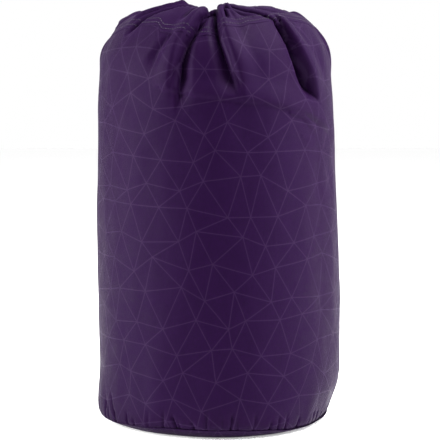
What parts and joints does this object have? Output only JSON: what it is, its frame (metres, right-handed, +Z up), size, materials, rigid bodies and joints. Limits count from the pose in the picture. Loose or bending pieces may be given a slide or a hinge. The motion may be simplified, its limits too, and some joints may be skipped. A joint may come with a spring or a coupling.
{
  "type": "stuff sack",
  "caption": "Round cloth stuff sack in its filled shape, with a sewn-in base and a gathered mouth drawn in by a cord with a sprung cord lock.",
  "frame": {"origin": "middle of the base, on the surface that the sack stands on", "axes": "+Z up through the middle of the sack; -Y is the front, where the cord leaves the channel on its inner side; +X is to the right seen from the front"},
  "size_m": [0.2298, 0.2301, 0.386],
  "materials": {
    "shell_fabric": "smooth coated woven nylon with a faint tonal print of thin lines",
    "channel_fabric": "plain smooth coated woven nylon",
    "binding_tape": "matt woven tape",
    "thread": "twisted thread, tone on tone",
    "cord": "braided round cord",
    "lock_plastic": "fine moulded texture",
    "spring_steel": "drawn wire"
  },
  "bodies": {
    "sack": {"body_panel": "shell_fabric", "base_panel": "shell_fabric", "drawcord_channel": "channel_fabric", "cord_exit_patch": "binding_tape", "channel_stitching": "thread", "side_seam_binding": "binding_tape", "side_seam_stitching": "thread", "base_seam_binding": "binding_tape", "base_seam_stitching": "thread", "drawcord": "cord", "drawcord_knot": "cord"},
    "cord_lock": {"cord_lock_barrel": "lock_plastic", "cord_lock_spring": "spring_steel"},
    "plunger": {"cord_lock_plunger": "lock_plastic"}
  },
  "joints": [
    {"name": "cord_lock_slide", "type": "slide", "parent": "sack", "child": "cord_lock", "axis": [0, 0, -1], "range_m": [0, 0.11]},
    {"name": "plunger_press", "type": "slide", "parent": "cord_lock", "child": "plunger", "axis": [0, -1, 0], "range_m": [0, 0.0036], "stiffness_N_per_m": 700, "springref_m": -0.002, "deforming": ["cord_lock_spring"]}
  ]
}
